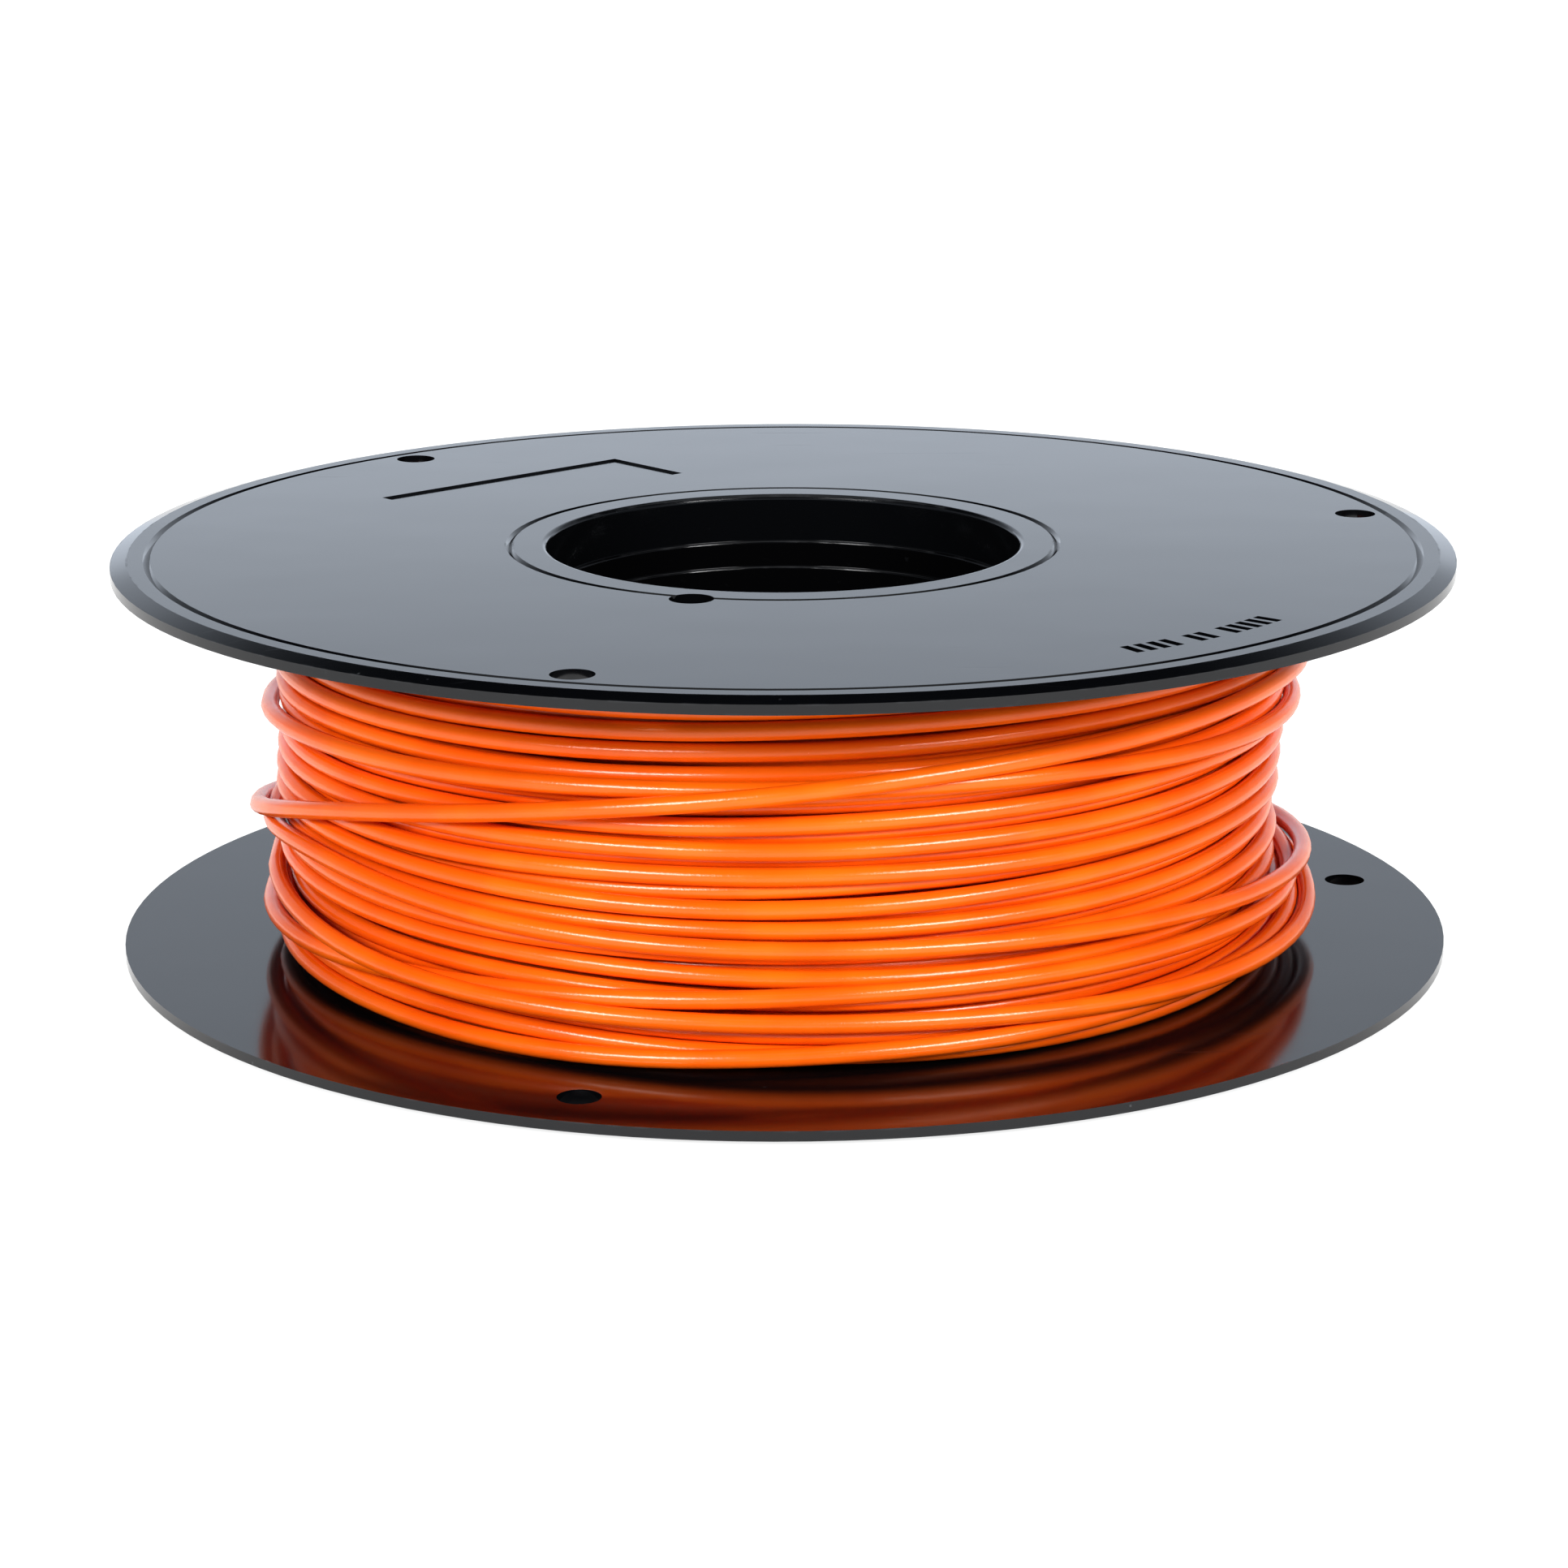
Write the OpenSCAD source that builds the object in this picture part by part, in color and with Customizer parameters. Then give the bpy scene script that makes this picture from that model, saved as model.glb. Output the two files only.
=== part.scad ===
// Two-flange filament spool, lying on one flange, with its axis along Z.
// The origin is the centre of the lower flange's outer face.

/* [Spool] */
// Outer diameter of both flanges
flange_d = 130; // [108:1:200]
// Distance between the outer faces of the two flanges
spool_w = 39.5; // [30:0.5:80]
// Thickness of a flange
flange_t = 1.4; // [1.3:0.1:3]
// Turn of the whole pattern of holes about the spool's axis, in degrees
pattern_turn = 12; // [0:1:119]

/* [Rim] */
// How far the bevel reaches in from the flange's edge
bevel_w = 1.6; // [0.8:0.1:4]
// How far the bevel drops below the outer face
bevel_h = 0.45; // [0.2:0.05:0.8]
// How far in from the flange's edge the ring line runs
line_in = 3.5; // [3:0.1:4]
// Width of the ring line at the face
line_w = 0.7; // [0.3:0.1:1]
// Depth of the ring line
line_h = 0.35; // [0.1:0.05:0.5]

/* [Holes in the flanges] */
// Diameter of the holes that hold the strand's free end
park_d = 4; // [2.5:0.1:5]
// How far in from the flange's edge those holes are centred
park_in = 6.5; // [6.5:0.1:9]
// Number of those holes in each flange
park_n = 3; // [1:1:6]
// Diameter of the driving hole beside the bore
drive_d = 4.2; // [2:0.1:5]

/* [Marks on the flanges] */
// Length of the stamp recess, along the rim
stamp_l = 31; // [10:1:40]
// Width of the stamp recess, across the flange
stamp_w = 11; // [4:0.5:12]
// Distance of the recess's middle from the spool's axis
stamp_at = 38.5; // [37:0.5:41]
// Depth of the stamp recess
stamp_h = 0.2; // [0.1:0.05:0.4]
// Number of dashes in each group of the engraved row
dashes = [4, 2, 5]; // [1:1:6]
// Angle between neighbouring dashes, in degrees
dash_step = 1.5; // [1.2:0.1:2]
// Width of one dash
dash_w = 0.9; // [0.4:0.1:1]
// Length of one dash, towards the axis
dash_l = 2.6; // [1:0.1:4]
// How far in from the flange's edge the dashes are centred
dash_in = 9; // [8:0.5:12]
// Depth of the dashes below the face
dash_h = 0.3; // [0.1:0.05:0.4]

/* [Bore] */
// Diameter of the bore at its two mouths
mouth_d = 46; // [36:0.5:56]
// How far each step narrows the bore's radius
step_w = 0.4; // [0.2:0.05:0.8]
// Depth of the first step below the outer face
step_1 = 4.7; // [3:0.1:6]
// Depth of the second step below the outer face
step_2 = 7.3; // [6.5:0.1:10]
// Wall of the hub ring's collar
collar_t = 1.2; // [0.8:0.1:2]
// Width of the hub ring's face, from the bore to its joint line
ring_w = 3.7; // [2.5:0.1:5]
// Thickness of the hub ring where it lies in the flange
ring_t = 0.7; // [0.5:0.05:0.9]
// Width of the joint line's chamfer on each side
joint_c = 0.3; // [0.1:0.05:0.4]
// Radius of the rounded edge of each mouth
mouth_round = 0.5; // [0.2:0.05:0.6]
// Radius of the rounded edge of each step
step_round = 0.3; // [0.1:0.05:0.5]
// Clearance between pieces that push into each other
fit_gap = 0.1; // [0.05:0.05:0.2]

/* [Core] */
// Radial width of the cavity between the sleeve and the barrel
cavity_w = 4.4; // [3.5:0.1:8]
// Wall of the barrel
barrel_t = 1.5; // [1:0.1:2.5]
// Wall of the sleeve's lip, round the collar
lip_t = 0.8; // [0.6:0.1:1]
// Height of the spigot that centres a flange in the barrel
spigot_h = 3; // [2:0.5:4]
// Wall of that spigot
spigot_t = 1.3; // [0.8:0.1:1.6]
// How much wider than the driving hole the gap in the spigot is, on each side
drive_spare = 0.6; // [0.4:0.1:1]
// Number of ribs between the sleeve and the barrel
rib_n = 6; // [3:1:9]
// Thickness of a rib
rib_t = 1.4; // [1:0.1:2]

/* [Filament] */
// Diameter of the strand
filament_d = 1.75; // [1.7:0.05:1.8]
// How far the winding's surface lies in from the flange's edge
winding_in = 15; // [8:0.5:18]
// How much lower the winding's surface is beside the flanges
winding_drop = 0.8; // [0.1:0.1:2]
// Clearance between the winding and the spool
winding_gap = 0.1; // [0.05:0.05:0.3]
// Diameter of the hole in the barrel that the strand starts in
anchor_d = 2.4; // [2.2:0.1:3]
// Height of that hole above the lower flange's inner face
anchor_up = 5; // [4.5:0.5:10]
// Angle of that hole from the barrel's surface, in degrees
anchor_slant = 30; // [25:1:40]
// Length of strand pushed through that hole
start_l = 8; // [4:0.5:9]
// Which hole of the lower flange holds the strand's last end
end_hole = 1; // [0:1:5]

/* [Hidden] */
$fn = 96;
eps = 0.01;

flange_r = flange_d / 2;
mouth_r = mouth_d / 2;
sleeve_r = mouth_r - step_w;
land_r = mouth_r - 2 * step_w;
collar_r = mouth_r + collar_t;
socket_r = collar_r + fit_gap;
sleeve_out_r = socket_r + lip_t;
joint_r = mouth_r + ring_w;
barrel_in_r = sleeve_out_r + cavity_w;
barrel_r = barrel_in_r + barrel_t;
winding_r = flange_r - winding_in;
spigot_r = barrel_in_r - fit_gap;
core_w = spool_w - 2 * flange_t;
rib_inset = spigot_h + 0.5;

// The pattern's angles, from one parking hole: the stamp recess is in line with the second hole,
// the driving hole with the third, and the dashes are halfway between the third and the first.
pitch = 360 / park_n;
stamp_turn = pitch;
drive_turn = -pitch;
dash_turn = -pitch / 2;
rib_turn = 180 / rib_n;
drive_r = sleeve_out_r + cavity_w / 2;

// The strand's start hole is halfway between two ribs.
anchor_turn = pattern_turn + rib_turn * 2;
anchor_z = flange_t + anchor_up;
// The start stays just inside the barrel's outer surface.
start_in = filament_d / (2 * tan(anchor_slant)) + eps * 10;

// The strand's last stretch leaves the winding along a tangent and dips into a parking hole of
// the lower flange. Its points are distances from the hole's axis along that tangent, and
// heights above the flange's inner face.
end_route = [
    [-28.5, 6.9], [-24.5, 6.1], [-20.5, 5.3], [-16.5, 4.5], [-12.5, 3.7], [-8.5, 2.9],
    [-4.5, 2.1], [-3.5, 1.85], [-2.5, 1.5], [-1.5, 1], [-0.5, 0.25], [0.4, -0.65]
];
park_r = flange_r - park_in;
end_turn = pattern_turn + pitch * end_hole;
end_angle = asin((winding_r + filament_d / 2 + winding_gap) / park_r);

// The rounded edge about [x, y], of radius r, from angle a0 clockwise through a right angle.
function quarter(x, y, r, a0) = [for (i = [0 : 6]) [x + r * cos(a0 - 15 * i), y + r * sin(a0 - 15 * i)]];

// Section of a flange: its inner face is at height 0 and its outer face at flange_t.
module flange_section() {
    line_r = flange_r - line_in;
    polygon([
        [socket_r, 0],
        [flange_r, 0],
        [flange_r, flange_t - bevel_h],
        [flange_r - bevel_w, flange_t],
        [line_r + line_w / 2, flange_t],
        [line_r, flange_t - line_h],
        [line_r - line_w / 2, flange_t],
        [joint_r + joint_c, flange_t],
        [joint_r, flange_t - joint_c],
        [joint_r, flange_t - ring_t],
        [socket_r, flange_t - ring_t],
    ]);
}

// The driving hole's cut, of diameter d, from height low up to height high.
module drive_cut(d, low, high) {
    rotate([0, 0, drive_turn]) translate([drive_r, 0, low]) cylinder(d = d, h = high - low);
}

// The number of places in the row before a group, with one empty place after each group.
function before(group) = group == 0 ? 0 : before(group - 1) + dashes[group - 1] + 1;

// The engraved row's cuts, which stand in for lettering.
module dash_row() {
    middle = (before(len(dashes)) - 2) / 2;
    for (group = [0 : len(dashes) - 1], i = [0 : dashes[group] - 1])
        rotate([0, 0, dash_turn + (before(group) + i - middle) * dash_step])
            translate([flange_r - dash_in - dash_l / 2, -dash_w / 2, flange_t - dash_h])
                cube([dash_l, dash_w, dash_h + eps]);
}

// The ring below a flange that centres it in the barrel, open under the driving hole.
module spigot() {
    difference() {
        translate([0, 0, -spigot_h]) cylinder(r = spigot_r, h = spigot_h + eps);
        translate([0, 0, -spigot_h - eps]) cylinder(r = spigot_r - spigot_t, h = spigot_h + 3 * eps);
        drive_cut(drive_d + 2 * drive_spare, -spigot_h - eps, 0);
    }
}

// One flange moulding, with its spigot hanging below it. Both flanges are the same moulding.
module flange() {
    difference() {
        union() {
            rotate_extrude() flange_section();
            spigot();
        }
        dash_row();
        for (i = [0 : park_n - 1])
            rotate([0, 0, pitch * i]) translate([park_r, 0, -eps])
                cylinder(d = park_d, h = flange_t + 2 * eps);
        rotate([0, 0, stamp_turn])
            translate([stamp_at - stamp_w / 2, -stamp_l / 2, flange_t - stamp_h])
                cube([stamp_w, stamp_l, stamp_h + eps]);
        drive_cut(drive_d, -eps, flange_t + eps);
    }
}

// The ring that lines a mouth of the bore, with its collar hanging below it.
module hub_ring() {
    edge_r = joint_r - fit_gap;
    difference() {
        rotate_extrude() polygon(concat(
            [[mouth_r, flange_t - step_1]],
            quarter(mouth_r + mouth_round, flange_t - mouth_round, mouth_round, 180),
            [
                [edge_r - joint_c, flange_t],
                [edge_r, flange_t - joint_c],
                [edge_r, flange_t - ring_t],
                [collar_r, flange_t - ring_t],
                [collar_r, flange_t - step_1],
            ]
        ));
        drive_cut(drive_d, -step_1, flange_t + eps);
    }
}

// Places a piece of the upper side, or its twin turned over on the lower side.
module upper() {
    translate([0, 0, spool_w - flange_t]) rotate([0, 0, pattern_turn]) children();
}

module lower() {
    translate([0, 0, flange_t]) rotate([0, 0, pattern_turn]) rotate([180, 0, 0]) children();
}

// The line along which the strand enters the barrel, from the barrel's outer surface inwards.
module along_anchor() {
    rotate([0, 0, anchor_turn]) translate([barrel_r, 0, anchor_z])
        rotate([0, 0, 270 - anchor_slant]) rotate([0, 90, 0]) children();
}

module flange_top() {
    color([0.09, 0.1, 0.12]) upper() flange();
}

module flange_bottom() {
    color([0.09, 0.1, 0.12]) lower() flange();
}

module hub_ring_top() {
    color([0.14, 0.15, 0.17]) upper() hub_ring();
}

module hub_ring_bottom() {
    color([0.14, 0.15, 0.17]) lower() hub_ring();
}

// Half of the sleeve's section, from its middle plane up to its end, with a rounded step at the
// land and at the ledge that the hub ring's collar stands on.
module sleeve_section() {
    top = core_w / 2;
    ledge = top + flange_t - step_1;
    land = top + flange_t - step_2;
    r = min(step_round, step_w - 2 * eps);
    polygon(concat(
        [[land_r, 0]],
        quarter(land_r + r, land - r, r, 180),
        [[sleeve_r, land]],
        quarter(sleeve_r + r, ledge - r, r, 180),
        [[socket_r, ledge], [socket_r, top], [sleeve_out_r, top], [sleeve_out_r, 0]]
    ));
}

// The core: a sleeve round the bore and a barrel round the sleeve, joined by ribs.
module hub_core() {
    color([0.06, 0.06, 0.07]) difference() {
        translate([0, 0, spool_w / 2]) union() {
            rotate_extrude() sleeve_section();
            mirror([0, 0, 1]) rotate_extrude() sleeve_section();
            difference() {
                cylinder(r = barrel_r, h = core_w, center = true);
                cylinder(r = barrel_in_r, h = core_w + 2 * eps, center = true);
            }
            for (i = [0 : rib_n - 1])
                rotate([0, 0, pattern_turn + rib_turn * (1 + 2 * i)])
                    translate([(sleeve_out_r + barrel_in_r) / 2, 0, 0])
                        cube([barrel_in_r - sleeve_out_r + lip_t, rib_t, core_w - 2 * rib_inset], center = true);
        }
        along_anchor() translate([0, 0, -anchor_d]) cylinder(d = anchor_d, h = anchor_d + start_l);
    }
}

// The wound strand's outer shape, which fills the space between the flanges.
module filament_coil() {
    low = flange_t + winding_gap;
    high = spool_w - flange_t - winding_gap;
    shoulder = 2 * filament_d;
    color([1, 0.42, 0.08]) rotate_extrude() polygon([
        [barrel_r + winding_gap, low],
        [winding_r - winding_drop, low],
        [winding_r, low + shoulder],
        [winding_r, high - shoulder],
        [winding_r - winding_drop, high],
        [barrel_r + winding_gap, high],
    ]);
}

// The strand's first end, pushed through the barrel's wall.
module filament_start() {
    color([1, 0.42, 0.08]) along_anchor() translate([0, 0, start_in]) cylinder(d = filament_d, h = start_l - start_in);
}

// A round tube of diameter d along a route of points [x, z] in the XZ plane.
module tube(route, d, sides = 8) {
    last = len(route) - 1;
    function slope(i) =
        let (a = route[max(i - 1, 0)], b = route[min(i + 1, last)]) atan2(b[1] - a[1], b[0] - a[0]);
    function corner(i, k) =
        let (up = d / 2 * cos(k * 360 / sides), s = slope(i))
        [route[i][0] - up * sin(s), d / 2 * sin(k * 360 / sides), route[i][1] + up * cos(s)];
    polyhedron(
        points = [for (i = [0 : last], k = [0 : sides - 1]) corner(i, k)],
        faces = concat(
            [[for (k = [0 : sides - 1]) sides - 1 - k]],
            [[for (k = [0 : sides - 1]) last * sides + k]],
            [for (i = [0 : last - 1], k = [0 : sides - 1])
                let (next = (k + 1) % sides)
                [i * sides + k, i * sides + next, (i + 1) * sides + next, (i + 1) * sides + k]]
        )
    );
}

// The strand's last stretch, from the winding's surface into the parking hole.
module filament_end() {
    color([1, 0.42, 0.08]) rotate([0, 0, end_turn]) translate([park_r, 0, flange_t])
        rotate([0, 0, end_angle]) tube(end_route, filament_d);
}

flange_top();
flange_bottom();
hub_ring_top();
hub_ring_bottom();
hub_core();
filament_coil();
filament_start();
filament_end();
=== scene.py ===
from math import asin, cos, pi, radians, sin, tan

import bpy
import numpy as np
from bpy.props import (
    FloatProperty,
    FloatVectorProperty,
    IntProperty,
    PointerProperty,
)
from mathutils import Matrix, Vector


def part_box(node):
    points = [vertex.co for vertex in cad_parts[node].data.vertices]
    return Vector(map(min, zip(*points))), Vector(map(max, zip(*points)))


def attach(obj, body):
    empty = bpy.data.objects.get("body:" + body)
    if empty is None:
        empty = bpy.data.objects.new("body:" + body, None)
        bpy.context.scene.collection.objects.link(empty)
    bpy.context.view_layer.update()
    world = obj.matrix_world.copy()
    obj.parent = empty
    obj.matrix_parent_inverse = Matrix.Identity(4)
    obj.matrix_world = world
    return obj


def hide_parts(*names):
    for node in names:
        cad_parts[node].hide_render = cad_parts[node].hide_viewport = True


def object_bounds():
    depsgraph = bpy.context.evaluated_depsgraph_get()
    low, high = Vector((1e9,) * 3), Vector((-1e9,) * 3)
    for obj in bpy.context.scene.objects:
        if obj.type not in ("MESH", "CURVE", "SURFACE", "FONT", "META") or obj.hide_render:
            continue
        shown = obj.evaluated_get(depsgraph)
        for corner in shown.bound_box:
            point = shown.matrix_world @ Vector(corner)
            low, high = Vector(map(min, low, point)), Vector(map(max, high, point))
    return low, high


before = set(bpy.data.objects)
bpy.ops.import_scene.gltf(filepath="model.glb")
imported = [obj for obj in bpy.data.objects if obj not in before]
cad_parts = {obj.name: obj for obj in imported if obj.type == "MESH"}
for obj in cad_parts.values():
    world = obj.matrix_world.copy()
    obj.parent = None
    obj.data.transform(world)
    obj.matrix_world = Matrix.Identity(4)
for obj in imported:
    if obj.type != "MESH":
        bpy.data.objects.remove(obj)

bl_info = {
    "name": "Filament Spool",
    "version": (1, 0, 0),
    "blender": (4, 5, 0),
    "location": "3D View > Sidebar > Spool",
    "description": "Dresses a two-flange spool and winds it full of strand",
    "category": "Object",
}

MM = 0.001
WINDING_GAP = 0.1 * MM

CAD_LOW, CAD_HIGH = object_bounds()
LOWER_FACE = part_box("filament_coil")[0].z - WINDING_GAP
UPPER_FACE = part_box("filament_coil")[1].z + WINDING_GAP
BARREL_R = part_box("hub_core")[1].x
FLANGE_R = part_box("flange_top")[1].x
SPOOL_W = CAD_HIGH[2]


# Sizes and colours -------------------------------------------------------------------------------


class StrandSettings(bpy.types.PropertyGroup):
    diameter: FloatProperty(
        name="Diameter",
        description="Diameter of the strand",
        default=1.75 * MM,
        unit="LENGTH",
    )
    clearance: FloatProperty(
        name="Clearance",
        description="Air between the strand and the barrel or the flanges",
        default=0.05 * MM,
        unit="LENGTH",
    )
    seed: IntProperty(
        name="Seed",
        description="Seed of the small differences between turns",
        default=7,
    )
    dense_layers: IntProperty(
        name="Dense layers",
        description="Layers wound closely and evenly, next to the barrel",
        default=8,
        min=1,
    )
    open_layers: IntProperty(
        name="Open layers",
        description="Layers wound more widely and unevenly, over the dense ones",
        default=2,
        min=1,
    )
    colour: FloatVectorProperty(
        name="Colour",
        description="Colour of the strand",
        subtype="COLOR",
        default=(0.87, 0.146, 0.005),
    )
    shade: FloatVectorProperty(
        name="Deeper colour",
        description="Colour of the strand where it is a little denser",
        subtype="COLOR",
        default=(0.81, 0.116, 0.003),
    )


class PlasticSettings(bpy.types.PropertyGroup):
    flange: FloatVectorProperty(
        name="Flanges",
        description="Colour of the flange mouldings",
        subtype="COLOR",
        default=(0.0030, 0.0034, 0.0044),
    )
    hub_ring: FloatVectorProperty(
        name="Hub rings",
        description="Colour of the rings that line the bore's mouths",
        subtype="COLOR",
        default=(0.0034, 0.0038, 0.0046),
    )
    core: FloatVectorProperty(
        name="Core",
        description="Colour of the sleeve and the barrel",
        subtype="COLOR",
        default=(0.0022, 0.0022, 0.0026),
    )
    wear: FloatVectorProperty(
        name="Wear",
        description="Colour of rubbed edges, scuffs and dust",
        subtype="COLOR",
        default=(0.16, 0.165, 0.175),
    )
    roughness: FloatProperty(
        name="Roughness",
        description="Roughness of the polished plastic",
        default=0.11,
        min=0.0,
        max=1.0,
    )


class StageSettings(bpy.types.PropertyGroup):
    camera_distance: FloatProperty(
        name="Camera distance",
        description="Distance of the camera from the spool's axis, along the floor",
        default=0.433,
        unit="LENGTH",
    )
    camera_height: FloatProperty(
        name="Camera height",
        description="Height of the camera above the upper flange",
        default=0.0902,
        unit="LENGTH",
    )
    camera_pitch: FloatProperty(
        name="Camera pitch",
        description="Angle by which the camera looks down",
        default=radians(14.84),
        unit="ROTATION",
    )
    camera_roll: FloatProperty(
        name="Camera roll",
        description="Turn of the camera about its line of sight",
        default=radians(-0.22),
        unit="ROTATION",
    )
    lens: FloatProperty(
        name="Lens",
        description="Focal length in millimetres, on a frame 36 mm wide",
        default=104.08,
    )
    floor: FloatVectorProperty(
        name="Floor",
        description="Colour of the floor",
        subtype="COLOR",
        default=(0.12, 0.12, 0.12),
    )
    glow: FloatVectorProperty(
        name="Glow",
        description="Light that comes up through the floor all round the spool",
        subtype="COLOR",
        default=(0.93, 0.93, 0.93),
    )
    horizon: FloatVectorProperty(
        name="Horizon",
        description="Colour of the studio's walls, low down",
        subtype="COLOR",
        default=(0.98, 1.07, 1.20),
    )
    light_power: FloatProperty(
        name="Light power",
        description="Power of each of the two soft lights in front",
        default=6.9,
        unit="POWER",
    )


# The strand's winding ----------------------------------------------------------------------------

# Points to a turn, the angle at which turns are counted, and how many turns back one can rest on.
SAMPLES = 96
SEAM = radians(-172)
REACH = 75

# How often a turn is drawn tight, and how often its radius is smoothed after that.
DRAPE_PASSES = 48
RADIUS_PASSES = 4

# What holds a turn in place while it settles: against bending, against bending at the seam as a
# share of that, and against moving sideways.
STIFFNESS = 60.0
SEAM_SHARE = 0.3
SIDEWAYS_COST = 0.5

# Radians by which a ripple shifts in a metre of height, at most.
RIPPLE_LEAN = 120

# How layers are wound, in thicknesses of the strand: the least and greatest pitch, how far the
# turns wave together, and how far each waves by itself.
DENSE = {"pitch": (1.04, 1.08), "wave": 0.12, "uneven": 0.09}
OPEN = {"pitch": (1.25, 1.4), "wave": 0.42, "uneven": 0.2}

# The stretch that leads from the hole down to the lower flange, in the same measure.
FIRST_PITCH = 1.08
FIRST_UNEVEN = 0.05

# The outermost turns keep all their points and get more sides; the others keep every third point.
OUTER_TURNS = 55
INNER_EVERY = 3
INNER_SIDES = 6
OUTER_SIDES = 12

# The strand starts in the core's cavity and comes out through the slanted hole in the barrel.
ANCHOR_TURN = radians(72)
ANCHOR_Z = 6.4 * MM
ANCHOR_SLANT = radians(30)
START_LENGTH = 8 * MM

# The last turns lie loosely over the others. Each row is one turn, from the seam on: angles in
# degrees about the axis, and depths in millimetres below the upper flange's outer face.
LAST_TURNS = [
    [(-172, 36.4), (-120, 36.3), (-60, 35.8), (-20, 34.6), (20, 33.8), (60, 34.4), (120, 35.6),
     (160, 34)],
    [(-172, 33), (-131, 31.3), (-100, 30.4), (-72, 29.6), (-44, 31.2), (-10, 33.2), (30, 30),
     (60, 28.5), (110, 28.5), (150, 30.5)],
    [(-172, 31.4), (-154, 31.8), (-126, 32.6), (-99, 33.4), (-72, 34.7), (-44, 35.5), (-10, 36),
     (30, 33), (60, 29), (90, 24.5), (120, 19.5), (150, 15.5)],
    [(-172, 13.6), (-140, 12.9), (-112, 12.3), (-88, 11.1), (-62, 11.2), (-37, 12.4), (-12, 14),
     (30, 15), (60, 16.5), (90, 19), (120, 23), (150, 26.5)],
    [(-172, 27.7), (-163, 25.6), (-154, 24.8), (-145, 25), (-126, 26.2), (-100, 26.7),
     (-81, 26.8), (-54, 27.5), (-26, 29.2), (10, 31.5), (50, 34), (100, 34.5), (140, 31.5)],
    [(-172, 24.8), (-150, 19.9), (-126, 16.3), (-108, 13.8), (-95, 12.4), (-81, 11.1),
     (-72, 10.4), (-44, 10.1), (-22, 9.3), (0, 10.5), (30, 16), (60, 21.8), (85, 27.5),
     (95, 29.7), (103, 31.3), (180, 31.3)],
]

# So many of the first ones sink between the turns below, and the others lie where they fell.
SUNK_TURNS = 4

# The strand's last stretch dips into a parking hole of the lower flange. Its points are distances
# from the hole's axis along the tangent it leaves by, and heights above the flange's inner face.
END_ROUTE = [
    (-28.5, 6.9), (-24.5, 6.1), (-20.5, 5.3), (-16.5, 4.5), (-12.5, 3.7), (-8.5, 2.9),
    (-4.5, 2.1), (-3.5, 1.85), (-2.5, 1.5), (-1.5, 1), (-0.5, 0.25), (0.4, -0.65)
]
END_TURN = radians(132)
PARK_R = 58.5 * MM


def blurred(values, passes):
    """The values, each smoothed with its neighbours that many times. The two ends stay."""
    for _ in range(passes):
        inner = 0.25 * values[:-2] + 0.5 * values[1:-1] + 0.25 * values[2:]
        values = np.concatenate([values[:1], inner, values[-1:]])
    return values


def draped(bed):
    """The bed, with its steps and hollows bridged as a tight strand does."""
    radius = bed
    for _ in range(DRAPE_PASSES):
        radius = np.maximum(bed, blurred(radius, 1))
    return radius


def ripple(random, count, most_waves):
    """A smooth random function of the height and the angle round the axis."""
    phase = random.uniform(0, 2 * pi, count)
    waves = random.integers(1, most_waves + 1, count)
    lean = random.uniform(-RIPPLE_LEAN, RIPPLE_LEAN, count)
    size = random.normal(0, 1, count) / np.sqrt(count / 2)

    def at(height, angle):
        turns = waves[:, None] * angle + phase[:, None] + lean[:, None] * height
        return (size[:, None] * np.sin(turns)).sum(0)

    return at


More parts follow.
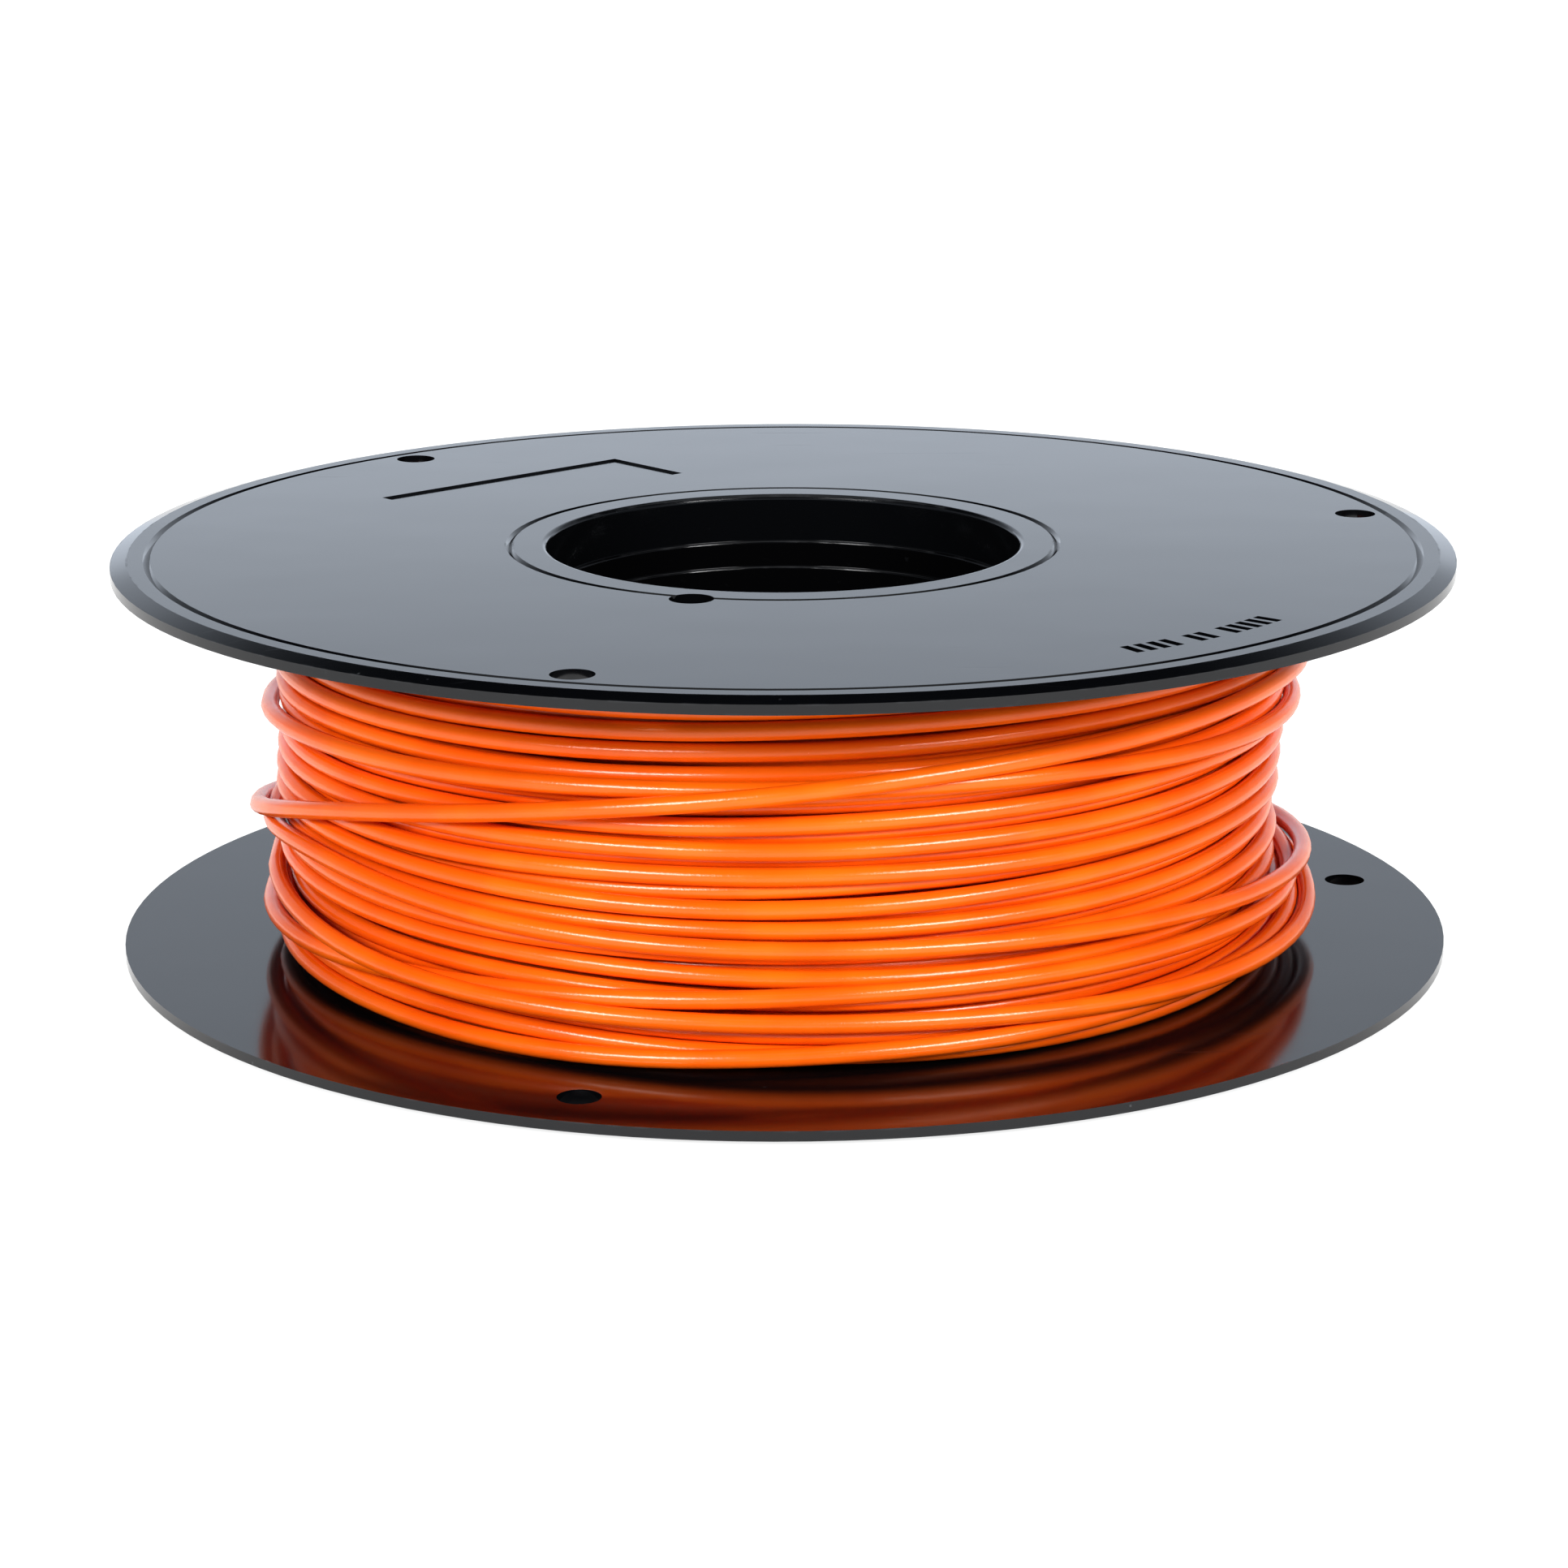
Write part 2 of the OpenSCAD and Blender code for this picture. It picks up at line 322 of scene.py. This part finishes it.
class Winding:
    """Turns of a strand laid one after another, each over those below it.

    Smoothing lets turns sink into each other a little, mostly where loose ones cross.
    """

    def __init__(self, strand):
        self.random = np.random.default_rng(strand.seed)
        self.thick = strand.diameter
        self.low = LOWER_FACE + self.thick / 2 + strand.clearance
        self.high = UPPER_FACE - self.thick / 2 - strand.clearance
        self.inner = BARREL_R + self.thick / 2 + strand.clearance
        self.shifts = np.linspace(-0.6, 0.6, 13) * self.thick
        self.angles = SEAM + 2 * pi * np.arange(SAMPLES) / SAMPLES
        self.first = round((ANCHOR_TURN - SEAM) / (2 * pi) * SAMPLES)
        self.heights = []
        self.radii = []

    def bed(self, height):
        """The radius at which a strand at those heights rests on what is wound so far."""
        radius = np.full(height.shape, self.inner)
        for under, radius_under in zip(self.heights[-REACH:], self.radii[-REACH:]):
            square = self.thick**2 - (height - under) ** 2
            if (square > 0).any():
                rest = radius_under + np.sqrt(np.maximum(square, 0))
                radius = np.where(square > 0, np.maximum(radius, rest), radius)
        return radius

    def settled(self, goal):
        """The heights near the goal at which a turn lies lowest without sharp bends."""
        height = np.clip(goal[None, :] + self.shifts[:, None], self.low, self.high)
        sideways = SIDEWAYS_COST * (self.shifts[:, None] / self.thick) ** 2
        cost = self.bed(height) / self.thick + sideways
        change = ((height[:, None, 1:] - height[None, :, :-1]) / self.thick) ** 2
        before = self.heights[-1][-1] if self.heights else ANCHOR_Z
        at_seam = SEAM_SHARE * STIFFNESS * ((height[:, 0] - before) / self.thick) ** 2
        best = cost[:, 0] + at_seam
        came_from = np.zeros((SAMPLES, len(self.shifts)), int)
        for i in range(1, SAMPLES):
            total = best[None, :] + STIFFNESS * change[:, :, i - 1]
            came_from[i] = total.argmin(1)
            best = cost[:, i] + total.min(1)
        picks = [int(best.argmin())]
        for i in range(SAMPLES - 1, 0, -1):
            picks.append(came_from[i, picks[-1]])
        return height[picks[::-1], np.arange(SAMPLES)]

    def lay(self, height, passes=10):
        """Adds one turn at about those heights, drawn tight over what lies below it."""
        lead = SAMPLES // 4
        if self.heights:
            old_height, old_radius = self.heights[-1][-lead:], self.radii[-1][-lead:]
        else:
            old_height, old_radius = np.full(lead, ANCHOR_Z), np.full(lead, self.inner)
        fade = np.clip(1 - np.arange(SAMPLES) / lead, 0, 1)
        fade = fade * fade * (3 - 2 * fade)
        height = height + (2 * old_height[-1] - old_height[-2] - height[0]) * fade
        height = blurred(np.concatenate([old_height, height]), passes)[lead:]
        height = np.clip(height, self.low, self.high)
        if self.heights:
            lifted = draped(np.concatenate([old_radius, self.bed(height)]))
            self.radii[-1][-lead:] = lifted[:lead]
            old_radius = lifted[:lead]
        radius = draped(np.concatenate([old_radius, self.bed(height)]))
        radius = blurred(radius, RADIUS_PASSES)[lead:]
        if not self.heights:
            radius[: self.first] = 0
        self.heights.append(height)
        self.radii.append(radius)

    def layer(self, start, end, pitch, wave, uneven):
        """Lays turns from one height to another, waving together and each a little by itself."""
        count = max(1, round(abs(end - start) / pitch))
        step = (end - start) / count
        shared = ripple(self.random, 6, 4)
        along = np.arange(SAMPLES) / SAMPLES
        for k in range(count):
            goal = start + step * (k + along)
            own = ripple(self.random, 4, 5)
            goal = goal + wave * shared(goal, self.angles) + uneven * own(goal, self.angles)
            self.lay(self.settled(np.clip(goal, self.low, self.high)))
        return end

    def first_turn(self):
        """Lays the turn that the slanted hole leads into."""
        level = self.first + 4
        ends = [ANCHOR_Z, ANCHOR_Z - self.thick]
        self.lay(np.interp(np.arange(SAMPLES), [level, SAMPLES], ends))

    def last_turns(self):
        """Lays the loose turns over the layers."""
        at = [angle + 360 * k for k, row in enumerate(LAST_TURNS) for angle, _ in row]
        height = [SPOOL_W - depth * MM for row in LAST_TURNS for _, depth in row]
        for k in range(len(LAST_TURNS)):
            goal = np.interp(np.degrees(self.angles) + 360 * k, at, height)
            if k < SUNK_TURNS:
                goal = self.settled(goal)
            self.lay(goal, passes=14)

    def line(self):
        """The strand's middle, from the hole in the barrel to where it leaves the winding."""
        radius, height = np.concatenate(self.radii), np.concatenate(self.heights)
        angle = SEAM + 2 * pi * np.arange(len(radius)) / SAMPLES
        begin = self.first + 3
        spare = SAMPLES - (round((leaving_turn(self.thick) - SEAM) / (2 * pi) * SAMPLES) - 1)
        return on_cylinder(radius, angle, height)[begin:-spare]


def on_cylinder(radius, angle, height):
    """Points at radii, angles about the axis and heights."""
    return np.stack([radius * np.cos(angle), radius * np.sin(angle), height], 1)


def leaving_angle(thick):
    """The angle between the strand's last stretch and the radius at the hole it goes into."""
    return asin((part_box("filament_coil")[1].x + thick / 2 + WINDING_GAP) / PARK_R)


def leaving_turn(thick):
    """The angle about the axis at which the strand leaves the winding."""
    return END_TURN - (pi / 2 - leaving_angle(thick))


def start_points(winding):
    """The strand's first stretch, from the cavity through the hole and on to the barrel."""
    turn = ANCHOR_TURN + pi / 2 - ANCHOR_SLANT
    surface = np.array([BARREL_R * cos(ANCHOR_TURN), BARREL_R * sin(ANCHOR_TURN), ANCHOR_Z])
    outwards = np.array([cos(turn), sin(turn), 0])
    straight = surface - np.linspace(START_LENGTH, 0, 10)[:, None] * outwards
    rise = winding.inner - BARREL_R
    bend = 2 * rise / tan(ANCHOR_SLANT)
    along = np.linspace(0, bend, 6)[1:]
    radius = winding.inner - rise * (1 - along / bend) ** 2
    curve = on_cylinder(radius, ANCHOR_TURN + along / BARREL_R, np.full(5, ANCHOR_Z))
    return np.concatenate([straight, curve])


def end_points(winding, last):
    """The strand's last stretch, which eases from the winding into the parking hole."""
    leave = leaving_angle(winding.thick)
    hole = np.array([PARK_R * cos(END_TURN), PARK_R * sin(END_TURN), LOWER_FACE])
    along = np.array([cos(END_TURN + leave), sin(END_TURN + leave), 0])
    route = np.array(END_ROUTE) * MM
    points = hole + route[:, :1] * along + route[:, 1:] * np.array([0, 0, 1])
    share = np.clip((route[:, 0] - route[0, 0]) / (20 * MM), 0, 1)
    ease = 1 - share * share * (3 - 2 * share)
    return points + ease[:, None] * (last - points[0])


def tube(name, rings):
    """A closed tube through rings of points, each of 6 or 12 points, as one mesh."""
    starts = np.cumsum([0] + [len(ring) for ring in rings])
    faces = [list(range(len(rings[0])))[::-1]]
    for first, a, b in zip(starts, rings, rings[1:]):
        second = first + len(a)
        for k in range(len(a)):
            here, there = first + k, first + (k + 1) % len(a)
            if len(a) == len(b):
                faces.append([here, there, there + len(a), here + len(a)])
            else:
                middle = second + 2 * k + 1
                faces.append([here, middle, second + 2 * k])
                faces.append([here, there, middle])
                faces.append([there, second + (2 * k + 2) % len(b), middle])
    faces.append(list(range(starts[-2], starts[-1])))
    mesh = bpy.data.meshes.new(name)
    mesh.from_pydata(np.concatenate(rings).tolist(), [], faces)
    mesh.validate()
    mesh.shade_smooth()
    piece = bpy.data.objects.new(name, mesh)
    bpy.context.scene.collection.objects.link(piece)
    return piece


def rings_round(line, radius, sides):
    """A ring of points round each point of a line that runs mostly level."""
    ahead = np.gradient(line, axis=0)
    ahead /= np.linalg.norm(ahead, axis=1)[:, None]
    out = np.cross(ahead, [0, 0, 1])
    out /= np.linalg.norm(out, axis=1)[:, None]
    up = np.cross(out, ahead)
    turn = (2 * pi * np.arange(sides) / sides)[None, :, None]
    ring = np.cos(turn) * out[:, None, :] + np.sin(turn) * up[:, None, :]
    return list(line[:, None, :] + radius * ring)


# Materials ---------------------------------------------------------------------------------------


class Value:
    """A shader socket that works in Python expressions, by adding Math nodes."""

    def __init__(self, shader, socket):
        self.shader = shader
        self.socket = socket

    def other(self, name):
        """Another output of the same node."""
        return Value(self.shader, self.socket.node.outputs[name])

    def math(self, operation, *values):
        return self.shader.node("ShaderNodeMath", {"operation": operation}, dict(enumerate(values)))

    def __add__(self, other):
        return self.math("ADD", self, other)

    __radd__ = __add__

    def __sub__(self, other):
        return self.math("SUBTRACT", self, other)

    def __rsub__(self, other):
        return self.math("SUBTRACT", other, self)

    def __mul__(self, other):
        return self.math("MULTIPLY", self, other)

    __rmul__ = __mul__

    def __pow__(self, other):
        return self.math("POWER", self, other)

    def __abs__(self):
        return self.math("ABSOLUTE", self)

    def step(self, low, high, start=0.0, end=1.0):
        """From start to end as the value goes from low to high."""
        sockets = {"From Min": low, "From Max": high, "To Min": start, "To Max": end, "Value": self}
        return self.shader.node(
            "ShaderNodeMapRange", {"interpolation_type": "SMOOTHSTEP"}, sockets
        )


class Shader:
    """The nodes of a material or a world, with one method that adds any node."""

    def __init__(self, owner):
        self.owner = owner
        owner.use_nodes = True
        self.tree = owner.node_tree
        self.tree.nodes.clear()

    def node(self, kind, settings=None, sockets=None, out=0):
        """Adds a node with those settings and socket values or links, and gives one output."""
        node = self.tree.nodes.new(kind)
        for key, value in (settings or {}).items():
            setattr(node, key, value)
        for key, value in (sockets or {}).items():
            if isinstance(value, Value):
                self.tree.links.new(value.socket, node.inputs[key])
            else:
                node.inputs[key].default_value = value
        return None if out is None else Value(self, node.outputs[out])

    def place(self):
        """The point on the piece, in millimetres."""
        at = self.node("ShaderNodeTexCoord", out="Object")
        return self.vector("SCALE", at, Scale=1 / MM)

    def vector(self, operation, *vectors, out=0, **sockets):
        """Vector maths on one or more vectors."""
        every = {**dict(enumerate(vectors)), **sockets}
        return self.node("ShaderNodeVectorMath", {"operation": operation}, every, out)

    def noise(self, place, scale, detail=2.0):
        """Smooth random values about 0.5, with that many features to a millimetre."""
        sockets = {"Vector": place, "Scale": scale, "Detail": detail}
        return self.node("ShaderNodeTexNoise", None, sockets)

    def mix(self, factor, a, b):
        """A colour from a to b."""
        settings = {"data_type": "RGBA", "clamp_factor": True}
        return self.node("ShaderNodeMix", settings, {0: factor, 6: opaque(a), 7: opaque(b)}, out=2)

    def bump(self, height, distance):
        """A normal bent by a height that changes over the surface, in units of that distance."""
        sockets = {"Height": height, "Distance": distance}
        return self.node("ShaderNodeBump", None, sockets)

    def finish(self, **sockets):
        """Ends the material in a Principled shader with those sockets."""
        named = {key.replace("_", " "): opaque(value) for key, value in sockets.items()}
        surface = self.node("ShaderNodeBsdfPrincipled", None, named)
        self.node("ShaderNodeOutputMaterial", None, {"Surface": surface}, out=None)
        return self.owner


def opaque(colour):
    """A colour of three numbers with its fourth; anything else as it is."""
    if isinstance(colour, (Value, float, int)) or len(colour) == 4:
        return colour
    return (*colour, 1.0)


# Edges that get rubbed: a radius and a depth below the face, in millimetres.
RIM_R = FLANGE_R / MM
FLANGE_EDGES = ((RIM_R - 1.6, 0), (RIM_R, 0.45), (RIM_R, 1.4), (27.0, 0))
HUB_RING_EDGES = ((23.15, 0.15), (26.3, 0))
CORE_EDGES = ((22.3, 7.4), (22.7, 4.8))

# The distances from the axis, in millimetres, between which the paper begins to glow.
GLOW_BEGINS = (58, 67)


def plastic(name, colour, edges, roughness, moulding=1.0):
    """Polished black plastic, faintly clouded, scratched and dusty, and rubbed along its edges.

    Each edge is a radius and a depth below the nearer of the spool's two faces, in millimetres.
    """
    settings = bpy.context.scene.spool_plastic
    shader = Shader(bpy.data.materials.new(name))
    place = shader.place()
    x = shader.node("ShaderNodeSeparateXYZ", None, {"Vector": place})
    y = x.other("Y")
    radius = (x * x + y * y) ** 0.5
    level = abs(x.other("Z") - SPOOL_W / 2 / MM)
    cloud = shader.noise(place, 0.03, 3.0)
    grain = shader.noise(place, 5.0, 3.0)
    scratches = 0.0
    for turn in (15, 70, 128):
        sockets = {"Vector": place, "Rotation": (0, 0, radians(turn)), "Scale": (0.05, 1.8, 1.0)}
        streaks = shader.node("ShaderNodeMapping", None, sockets)
        scratches = shader.noise(streaks, 1.0, 2.0).step(0.70, 0.78) + scratches
    scratches = scratches * cloud.step(0.42, 0.62)
    specks = shader.node("ShaderNodeTexVoronoi", None, {"Vector": place, "Scale": 0.45})
    dust = specks.step(0.09, 0.03) * shader.noise(place, 0.11).step(0.5, 0.62)
    wear = 0.0
    for edge_radius, depth in edges:
        across, along = radius - edge_radius, level - (SPOOL_W / 2 / MM - depth)
        wear = (across * across + along * along).step(0.03, 0.002) + wear
    wear = wear * shader.noise(place, 0.5, 4.0).step(0.45, 0.7)
    marks = scratches * 0.06 + dust * 0.3 + wear * 0.07
    rough = cloud * 0.05 + grain * 0.02 + (roughness - 0.035) + scratches * 0.1 + wear * 0.15
    swell = shader.noise(place, 0.07, 1.0)
    height = swell * (3.0 * moulding) + grain * 0.04 - scratches * 0.15
    return shader.finish(
        Base_Color=shader.mix(marks, colour, settings.wear),
        Roughness=rough,
        Normal=shader.bump(height, 0.006 * MM),
        IOR=1.54,
    )


def strand_plastic():
    """Smooth orange strand, with faint changes of depth and gloss along it."""
    strand = bpy.context.scene.spool_strand
    shader = Shader(bpy.data.materials.new("strand_plastic"))
    place = shader.place()
    depth = shader.noise(place, 0.09, 3.0).step(0.35, 0.65)
    grain = shader.noise(place, 3.0, 4.0)
    gloss = shader.noise(place, 0.25, 3.0)
    return shader.finish(
        Base_Color=shader.mix(depth, strand.colour, strand.shade),
        Roughness=gloss * 0.12 + grain * 0.05 + 0.155,
        Normal=shader.bump(grain, 0.015 * MM),
        IOR=1.5,
        Specular_IOR_Level=0.5,
    )


def floor_paper():
    """Matt paper on a light table, which glows all round the spool and is dark under it."""
    stage = bpy.context.scene.spool_stage
    shader = Shader(bpy.data.materials.new("floor_paper"))
    place = shader.place()
    fibre = shader.noise(place, 0.8, 4.0)
    tint = tuple(0.985 * part for part in stage.floor)
    outside = shader.vector("LENGTH", place, out="Value").step(*GLOW_BEGINS)
    glow = shader.mix(outside, (0.0, 0.0, 0.0), stage.glow)
    return shader.finish(
        Base_Color=shader.mix(fibre, stage.floor, tint),
        Roughness=fibre * 0.1 + 0.75,
        Normal=shader.bump(fibre, 0.01 * MM),
        Emission_Color=glow,
        Emission_Strength=1.0,
    )


def dress(node, material):
    """Gives a CAD piece a material."""
    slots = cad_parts[node].material_slots
    if not len(slots):
        raise RuntimeError(f"{node} has no material slot")
    for slot in slots:
        slot.material = material


# Operators ---------------------------------------------------------------------------------------


class SPOOL_OT_camera(bpy.types.Operator):
    """Places the camera in front of the spool, a little above it."""

    bl_idname = "spool.camera"
    bl_label = "Camera"

    def execute(self, context):
        stage = context.scene.spool_stage
        camera = bpy.data.objects.new("camera", bpy.data.cameras.new("camera"))
        camera.data.lens = stage.lens
        camera.data.clip_start = 0.01
        pitch = Matrix.Rotation(pi / 2 - stage.camera_pitch, 4, "X")
        roll = Matrix.Rotation(stage.camera_roll, 4, "Z")
        place = Matrix.Translation((0, -stage.camera_distance, SPOOL_W + stage.camera_height))
        camera.matrix_world = place @ pitch @ roll
        context.scene.collection.objects.link(camera)
        context.scene.camera = camera
        return {"FINISHED"}


class SPOOL_OT_strand(bpy.types.Operator):
    """Winds the spool full of strand, from the barrel out, and parks its end in a hole."""

    bl_idname = "spool.strand"
    bl_label = "Strand"

    def execute(self, context):
        strand = context.scene.spool_strand
        winding = Winding(strand)
        thick = winding.thick
        winding.first_turn()
        bottom, top = winding.low, winding.high
        uneven = FIRST_UNEVEN * thick
        at = winding.layer(ANCHOR_Z - thick, bottom, FIRST_PITCH * thick, 0, uneven)
        for k in range(strand.dense_layers + strand.open_layers):
            target = top if at == bottom else bottom
            kind = DENSE if k < strand.dense_layers else OPEN
            pitch = thick * winding.random.uniform(*kind["pitch"])
            at = winding.layer(at, target, pitch, kind["wave"] * thick, kind["uneven"] * thick)
        winding.last_turns()

        start = start_points(winding)
        coil = winding.line()
        end = end_points(winding, coil[-1])
        inner = len(coil) - OUTER_TURNS * SAMPLES
        sparse = coil[:inner:INNER_EVERY]
        line = np.concatenate([start, sparse, coil[inner:], end[1:]])
        fine = len(start) + len(sparse)
        rings = rings_round(line[: fine + 1], thick / 2, INNER_SIDES)[:fine]
        rings += rings_round(line[fine - 1 :], thick / 2, OUTER_SIDES)[1:]
        piece = tube("strand", rings)
        piece.data.materials.append(strand_plastic())

        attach(piece, "root")
        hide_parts("filament_coil", "filament_start", "filament_end")
        return {"FINISHED"}


class SPOOL_OT_flanges(bpy.types.Operator):
    """Gives both flange mouldings their polished plastic."""

    bl_idname = "spool.flanges"
    bl_label = "Flanges"

    def execute(self, context):
        settings = context.scene.spool_plastic
        rough = settings.roughness
        material = plastic("flange_plastic", settings.flange, FLANGE_EDGES, rough)
        dress("flange_top", material)
        dress("flange_bottom", material)
        return {"FINISHED"}


class SPOOL_OT_hub_rings(bpy.types.Operator):
    """Gives both hub rings their plastic, rubbed where a spindle goes in."""

    bl_idname = "spool.hub_rings"
    bl_label = "Hub rings"

    def execute(self, context):
        settings = context.scene.spool_plastic
        rough = settings.roughness + 0.03
        material = plastic("hub_ring_plastic", settings.hub_ring, HUB_RING_EDGES, rough, 1.6)
        dress("hub_ring_top", material)
        dress("hub_ring_bottom", material)
        return {"FINISHED"}


class SPOOL_OT_core(bpy.types.Operator):
    """Gives the core its plastic, rubbed on the land that a spindle turns in."""

    bl_idname = "spool.core"
    bl_label = "Core"

    def execute(self, context):
        settings = context.scene.spool_plastic
        rough = settings.roughness
        dress("hub_core", plastic("core_plastic", settings.core, CORE_EDGES, rough, 0.6))
        return {"FINISHED"}


FLOOR_HALF = 12.0

# The two soft lights in front: their angles about the axis, their angle above the floor, their
# width and height, all seen from the spool's middle at a distance of one metre.
LIGHT_TURNS = {"light_left": radians(-123), "light_right": radians(-52)}
LIGHT_RISE = radians(25)
LIGHT_WIDTH = 0.42
LIGHT_HEIGHT = 0.2

# The studio round the spool. Heights are sines of the angle above the floor: the walls dim, go
# dark and give way to the ceiling between them. Towards the back it shines at its full strength.
WALLS_DIM = (0.15, 0.25)
WALLS_DARKEN = (0.30, 0.62)
CEILING_BEGINS = (0.72, 0.90)
BACK_BEGINS = (0.72, 0.95)
DIMMED = 0.66
FRONT_STRENGTH = 0.4
DARK = (0.008, 0.008, 0.009)
CEILING = (1.3, 1.35, 1.42)


class SPOOL_OT_stage(bpy.types.Operator):
    """Lays the floor, sets two soft lights in front and puts the studio round the spool."""

    bl_idname = "spool.stage"
    bl_label = "Stage"

    def execute(self, context):
        scene = context.scene
        stage = scene.spool_stage
        size = FLOOR_HALF
        corners = [(-size, -size, 0), (size, -size, 0), (size, size, 0), (-size, size, 0)]
        mesh = bpy.data.meshes.new("floor")
        mesh.from_pydata(corners, [], [(0, 1, 2, 3)])
        floor = bpy.data.objects.new("floor", mesh)
        floor.data.materials.append(floor_paper())
        scene.collection.objects.link(floor)

        middle = Vector((0, 0, SPOOL_W / 2))
        for name, turn in LIGHT_TURNS.items():
            light = bpy.data.lights.new(name, "AREA")
            light.energy = stage.light_power
            light.shape = "RECTANGLE"
            light.size = LIGHT_WIDTH
            light.size_y = LIGHT_HEIGHT
            lamp = bpy.data.objects.new(name, light)
            level = cos(LIGHT_RISE)
            way = Vector((cos(turn) * level, sin(turn) * level, sin(LIGHT_RISE)))
            lamp.location = middle + way
            lamp.rotation_euler = way.to_track_quat("Z", "Y").to_euler()
            scene.collection.objects.link(lamp)

        scene.world = bpy.data.worlds.new("studio")
        shader = Shader(scene.world)
        way = shader.node("ShaderNodeTexCoord", out="Generated")
        back = shader.node("ShaderNodeSeparateXYZ", None, {"Vector": way}).other("Y")
        rise = back.other("Z")
        higher = tuple(DIMMED * part for part in stage.horizon)
        walls = shader.mix(rise.step(*WALLS_DIM), stage.horizon, higher)
        walls = shader.mix(rise.step(*WALLS_DARKEN), walls, DARK)
        colour = shader.mix(rise.step(*CEILING_BEGINS), walls, CEILING)
        strength = back.step(*BACK_BEGINS, FRONT_STRENGTH, 1.0)
        surface = shader.node("ShaderNodeBackground", None, {"Color": colour, "Strength": strength})
        shader.node("ShaderNodeOutputWorld", None, {"Surface": surface}, out=None)
        scene.view_settings.view_transform = "Standard"
        scene.view_settings.look = "Medium High Contrast"
        return {"FINISHED"}


STEPS = (
    SPOOL_OT_camera,
    SPOOL_OT_strand,
    SPOOL_OT_flanges,
    SPOOL_OT_hub_rings,
    SPOOL_OT_core,
    SPOOL_OT_stage,
)


class SPOOL_PT_panel(bpy.types.Panel):
    """The spool's sizes and colours, and a button for each of its pieces."""

    bl_idname = "SPOOL_PT_panel"
    bl_label = "Filament Spool"
    bl_space_type = "VIEW_3D"
    bl_region_type = "UI"
    bl_category = "Spool"

    def draw(self, context):
        for settings in ("spool_strand", "spool_plastic", "spool_stage"):
            box = self.layout.box()
            group = getattr(context.scene, settings)
            for name in group.__annotations__:
                box.prop(group, name)
        for step in STEPS:
            self.layout.operator(step.bl_idname)


SETTINGS = {
    "spool_strand": StrandSettings,
    "spool_plastic": PlasticSettings,
    "spool_stage": StageSettings,
}


def register():
    for name, settings in SETTINGS.items():
        bpy.utils.register_class(settings)
        setattr(bpy.types.Scene, name, PointerProperty(type=settings))
    for item in (*STEPS, SPOOL_PT_panel):
        bpy.utils.register_class(item)


def unregister():
    for item in (SPOOL_PT_panel, *reversed(STEPS)):
        bpy.utils.unregister_class(item)
    for name, settings in reversed(SETTINGS.items()):
        delattr(bpy.types.Scene, name)
        bpy.utils.unregister_class(settings)


def main():
    register()
    bpy.ops.spool.camera()
    bpy.ops.spool.strand()
    bpy.ops.spool.flanges()
    bpy.ops.spool.hub_rings()
    bpy.ops.spool.core()
    bpy.ops.spool.stage()


if __name__ == "__main__":
    main()
